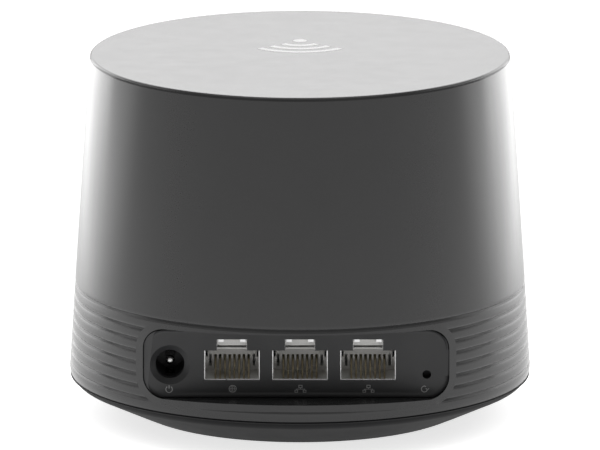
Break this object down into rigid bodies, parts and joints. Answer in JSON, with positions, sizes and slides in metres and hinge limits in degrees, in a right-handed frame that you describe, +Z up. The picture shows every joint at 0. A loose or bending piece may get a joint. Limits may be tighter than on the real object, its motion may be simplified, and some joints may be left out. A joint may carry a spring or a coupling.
{
  "type": "mesh wifi node",
  "caption": "Tapered round mesh wifi node with a ribbed lower band, a bowl-shaped base and a recessed rear panel with network sockets, a power socket and a reset button.",
  "frame": {"origin": "centre of the base, at the level of the rubber feet", "axes": "+Z up along the body's axis, -Y out of the port panel, +X to the right when looking at the ports"},
  "size_m": [0.1, 0.1, 0.0784],
  "materials": {
    "shell_plastic": "satin dark grey moulded plastic",
    "panel_plastic": "fine matte dark grey moulded plastic",
    "base_plastic": "satin dark grey moulded plastic",
    "foot_rubber": "matte rubber",
    "screw_steel": "zinc plated",
    "label_film": "satin film, blank",
    "board_laminate": "solder mask",
    "chip_epoxy": "moulded epoxy",
    "chip_lid": "satin lid",
    "can_metal": "tin plated sheet",
    "sink_aluminium": "extruded",
    "pad_silicone": "soft silicone",
    "frame_plastic": "natural moulded plastic",
    "antenna_copper": "copper on laminate",
    "coax_dark": "lead jacket",
    "coax_light": "lead jacket",
    "plug_gold": "gold plated",
    "jack_shield": "nickel plated sheet",
    "jack_housing": "moulded plastic",
    "jack_contact": "gold plated springs",
    "dc_plastic": "moulded plastic",
    "pin_metal": "nickel plated",
    "switch_plastic": "moulded plastic",
    "button_plastic": "moulded plastic",
    "led_resin": "clear resin on white",
    "pipe_clear": "clear moulding",
    "cap_sleeve": "sleeve and can",
    "inductor_ferrite": "ferrite",
    "transformer_epoxy": "moulded epoxy"
  },
  "bodies": {
    "housing": {"outer_shell": "shell_plastic", "port_panel": "panel_plastic", "base_tray": "base_plastic", "rubber_feet": "foot_rubber", "base_screws": "screw_steel", "rating_label": "label_film", "main_board": "board_laminate", "board_screws": "screw_steel", "antenna_frame": "frame_plastic", "heat_sink": "sink_aluminium", "thermal_pad": "pad_silicone", "soc_chip": "chip_lid", "memory_chips": "chip_epoxy", "flash_chip": "chip_epoxy", "crystal_can": "can_metal", "radio_shield_left": "can_metal", "radio_shield_right": "can_metal", "switch_chip": "chip_epoxy", "lan_transformers": "transformer_epoxy", "power_inductor": "inductor_ferrite", "bulk_capacitors": "cap_sleeve", "rj45_shield_left": "jack_shield", "rj45_shield_centre": "jack_shield", "rj45_shield_right": "jack_shield", "rj45_housing_left": "jack_housing", "rj45_housing_centre": "jack_housing", "rj45_housing_right": "jack_housing", "rj45_contacts_left": "jack_contact", "rj45_contacts_centre": "jack_contact", "rj45_contacts_right": "jack_contact", "dc_jack_body": "dc_plastic", "dc_jack_pin": "pin_metal", "dc_jack_spring": "pin_metal", "reset_switch_body": "switch_plastic", "antenna_front": "antenna_copper", "antenna_back": "antenna_copper", "antenna_left": "antenna_copper", "antenna_right": "antenna_copper", "coax_front": "coax_light", "coax_back": "coax_light", "coax_left": "coax_dark", "coax_right": "coax_dark", "coax_plugs": "plug_gold", "status_led": "led_resin", "light_pipe": "pipe_clear"},
    "reset_button": {"reset_switch_button": "button_plastic"}
  },
  "joints": [
    {"name": "reset_press", "type": "slide", "parent": "housing", "child": "reset_button", "axis": [0, 1, 0], "range_m": [0, 0.00025], "stiffness_N_per_m": 4000}
  ]
}
